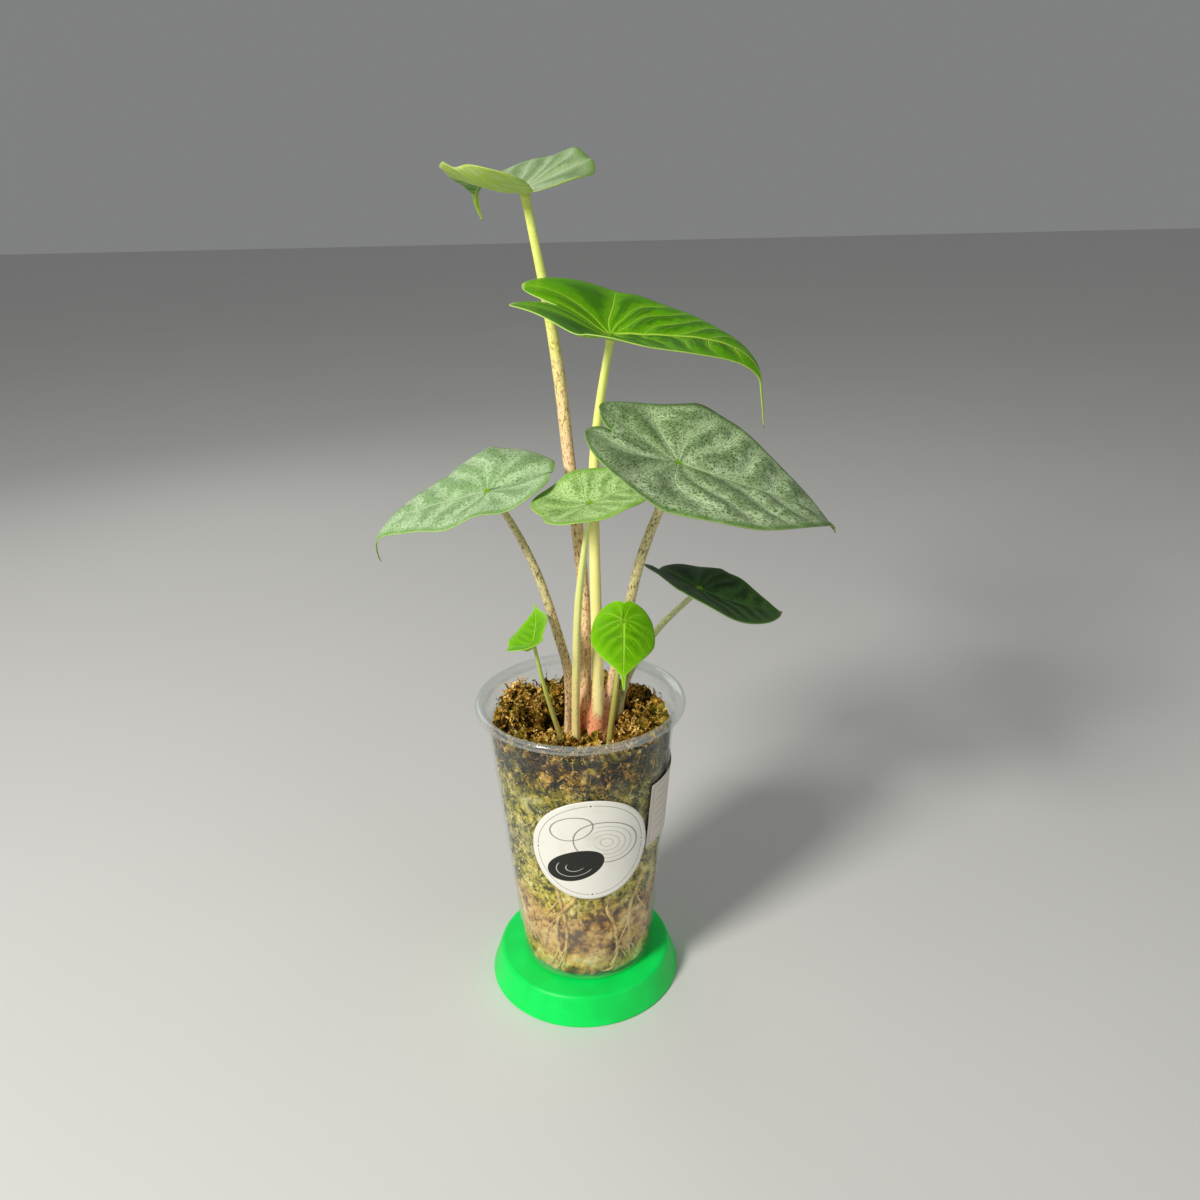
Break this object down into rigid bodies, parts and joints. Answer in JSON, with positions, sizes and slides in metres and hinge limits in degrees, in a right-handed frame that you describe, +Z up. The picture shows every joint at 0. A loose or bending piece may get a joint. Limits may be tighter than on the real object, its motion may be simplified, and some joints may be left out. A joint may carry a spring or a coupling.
{
  "type": "potted ivory coast alocasia",
  "caption": "Potted aroid house plant: shield-shaped leaves on long stalks, rooted in moss in a clear cup on a round stand.",
  "frame": {"origin": "centre of the stand's underside, on the surface it rests on", "axes": "+Z up, -Y towards the front of the cup with the round label, +X to the right"},
  "size_m": [0.1963, 0.1772, 0.3889],
  "materials": {
    "stand": "satin green plastic",
    "cup": "clear glossy plastic",
    "moss": "matt damp moss",
    "roots": "dull cream roots",
    "crown": "satin pink stem base with dark speckles",
    "stalk_tan": "satin tan stalk, green at the head",
    "stalk_cream": "satin cream-green stalk",
    "stalk_olive": "satin light olive stalk",
    "stalk_mottled": "satin stalk with dark brown mottling",
    "blade_top": "satin leaf, silvery above and pale green below",
    "blade_bright": "glossy young leaf",
    "blade_silver": "satin grey-green leaf with pale veins",
    "blade_dark": "satin dark green leaf",
    "label": "smooth white paper"
  },
  "bodies": {
    "root": {"stand": "stand", "cup": "cup", "moss": "moss", "roots": "roots", "crown": "crown", "stalk_top": "stalk_tan", "blade_top": "blade_top", "stalk_bright": "stalk_cream", "blade_bright": "blade_bright", "stalk_large": "stalk_mottled", "blade_large": "blade_silver", "stalk_middle": "stalk_olive", "blade_middle": "blade_silver", "stalk_left": "stalk_mottled", "blade_left": "blade_silver", "stalk_right": "stalk_mottled", "blade_right": "blade_dark", "stalk_young": "stalk_olive", "blade_young": "blade_bright", "stalk_small": "stalk_olive", "blade_small": "blade_bright", "label_round": "label", "label_side": "label"}
  },
  "joints": []
}
